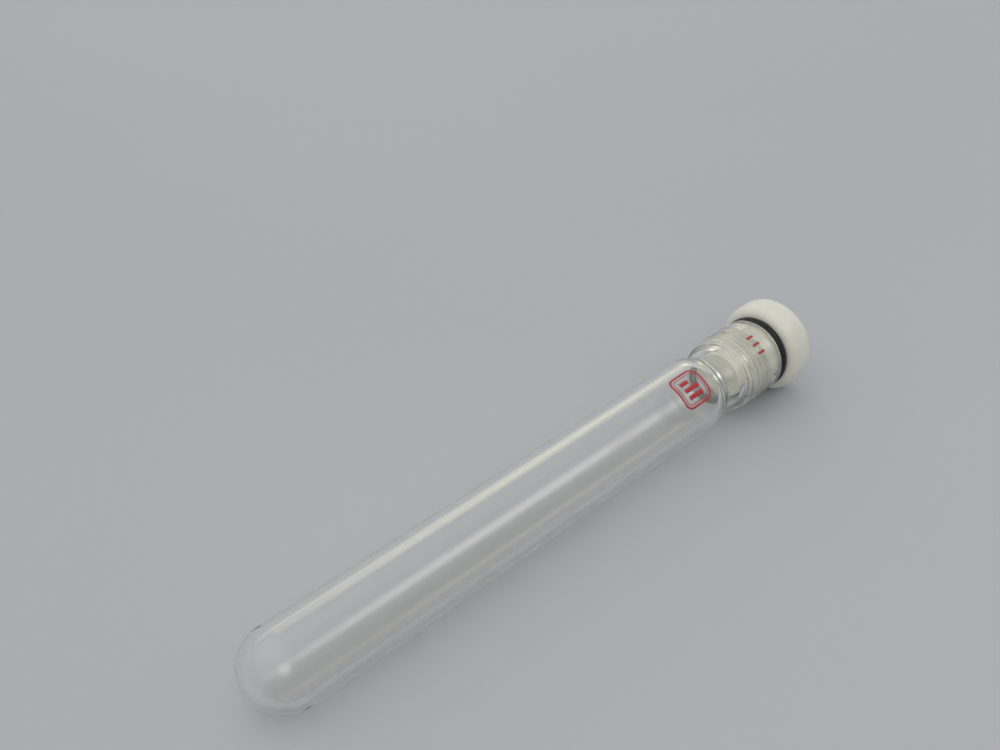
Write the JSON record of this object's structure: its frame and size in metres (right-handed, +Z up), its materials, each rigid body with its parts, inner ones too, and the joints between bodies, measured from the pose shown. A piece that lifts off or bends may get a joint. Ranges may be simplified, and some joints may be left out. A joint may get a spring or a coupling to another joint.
{
  "type": "screw-plug pressure tube",
  "caption": "Heavy-wall round-bottom glass tube with an internally threaded neck, closed by a white screw plug on a black O-ring.",
  "frame": {"origin": "under the middle of the whole assembly, level with the lowest point of the plug's head", "axes": "+X along the tube's axis from the round end to the plug's head, +Z up with the tube lying down"},
  "size_m": [0.2364, 0.032, 0.032],
  "materials": {
    "glass": "clear polished",
    "white_plastic": "turned, waxy satin",
    "black_rubber": "smooth satin",
    "red_enamel": "fired enamel print"
  },
  "bodies": {
    "glass_tube": {"glass_tube": "glass"},
    "o_ring": {"o_ring": "black_rubber"},
    "threaded_plug": {"threaded_plug": "white_plastic"}
  },
  "joints": [
    {"name": "plug_travel", "type": "slide", "parent": "glass_tube", "child": "o_ring", "axis": [1, 0, 0], "range_m": [0, 0.02159]},
    {"name": "plug_turn", "type": "hinge", "parent": "o_ring", "child": "threaded_plug", "pos_m": [0.10347, 0, 0.016], "axis": [1, 0, 0], "range_deg": [0, 3060]}
  ],
  "couplings": [
    {"joint": "plug_travel", "follows": "plug_turn", "m_per_rad": 0.00040425}
  ]
}
